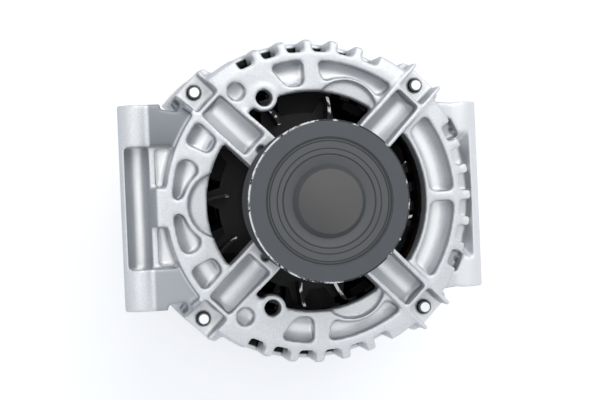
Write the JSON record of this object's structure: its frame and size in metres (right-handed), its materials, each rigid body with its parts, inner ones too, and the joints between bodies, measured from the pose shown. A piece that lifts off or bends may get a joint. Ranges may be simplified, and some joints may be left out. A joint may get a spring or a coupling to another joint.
{
  "type": "alternator",
  "caption": "Air-cooled car alternator with finned cast brackets, long bored lugs, claw-pole rotor, inner fans and an overrunning ribbed pulley.",
  "frame": {"origin": "where the shaft's axis meets the flat end of the rear cover", "axes": "+Z along the shaft towards the pulley, +Y along the mounting lugs' bores, +X away from the forward lug"},
  "size_m": [0.1537, 0.134, 0.1655],
  "materials": {
    "cast_aluminium": "as-cast, lightly blasted",
    "black_plastic": "glass-filled, moulded",
    "grey_plastic": "moulded",
    "zinc_steel": "zinc plated",
    "lamination_steel": "stacked sheets, varnished dark",
    "copper_enamel": "enamelled wire in resin",
    "bearing_steel": "ground",
    "pole_steel": "forged, dark primer",
    "fan_steel": "black, bare at the sheared edges",
    "plate_aluminium": "pressed",
    "tinned_copper": "tinned",
    "ring_copper": "turned",
    "carbon": "pressed carbon",
    "spring_steel": "drawn wire",
    "pulley_paint": "slate grey coating, chipped edge",
    "cap_plastic": "moulded, satin",
    "seal_rubber": "moulded lip seal"
  },
  "bodies": {
    "housing": {"drive_end_bracket": "cast_aluminium", "slip_ring_end_bracket": "cast_aluminium", "rear_cover": "black_plastic", "cover_screws": "zinc_steel", "through_bolts": "zinc_steel", "stator_core": "lamination_steel", "stator_winding": "copper_enamel", "bearing_retainer": "zinc_steel", "retainer_screws": "zinc_steel", "front_bearing_outer_ring": "bearing_steel", "front_bearing_balls": "bearing_steel", "rear_bearing_outer_ring": "bearing_steel", "rear_bearing_balls": "bearing_steel", "rear_bearing_sleeve": "grey_plastic", "brush_holder": "black_plastic", "regulator": "black_plastic", "connector_pins": "tinned_copper", "regulator_screws": "zinc_steel", "rectifier_negative_plate": "plate_aluminium", "rectifier_insulator": "grey_plastic", "rectifier_positive_plate": "plate_aluminium", "negative_diodes": "tinned_copper", "positive_diodes": "tinned_copper", "rectifier_screws": "zinc_steel", "battery_stud": "zinc_steel", "battery_stud_nut": "zinc_steel", "rear_brush_spring": "spring_steel", "front_brush_spring": "spring_steel"},
    "rotor": {"rotor_shaft": "bearing_steel", "rear_claw_pole": "pole_steel", "front_claw_pole": "pole_steel", "coil_bobbin": "grey_plastic", "field_coil": "copper_enamel", "front_fan": "fan_steel", "rear_fan": "fan_steel", "spacer_collar": "bearing_steel", "front_bearing_inner_ring": "bearing_steel", "rear_bearing_inner_ring": "bearing_steel", "slip_ring_sleeve": "grey_plastic", "rear_slip_ring": "ring_copper", "front_slip_ring": "ring_copper", "pulley_hub": "bearing_steel", "clutch_rollers": "bearing_steel", "front_support_rollers": "bearing_steel", "rear_support_rollers": "bearing_steel", "clutch_cage": "grey_plastic"},
    "pulley": {"pulley_rim": "pulley_paint", "pulley_dust_cap": "cap_plastic", "pulley_seal": "seal_rubber"},
    "rear_brush": {"rear_brush": "carbon"},
    "front_brush": {"front_brush": "carbon"}
  },
  "joints": [
    {"name": "rotor_spin", "type": "hinge", "parent": "housing", "child": "rotor", "pos_m": [0, 0, 0], "axis": [0, 0, 1], "continuous": true},
    {"name": "pulley_overrun", "type": "hinge", "parent": "rotor", "child": "pulley", "pos_m": [0, 0, 0], "axis": [0, 0, 1], "continuous": true},
    {"name": "rear_brush_slide", "type": "slide", "parent": "housing", "child": "rear_brush", "axis": [0, 1, 0], "range_m": [0, 0.008], "stiffness_N_per_m": 60, "springref_m": -0.004, "deforming": ["rear_brush_spring"]},
    {"name": "front_brush_slide", "type": "slide", "parent": "housing", "child": "front_brush", "axis": [0, 1, 0], "range_m": [0, 0.008], "stiffness_N_per_m": 60, "springref_m": -0.004, "deforming": ["front_brush_spring"]}
  ]
}
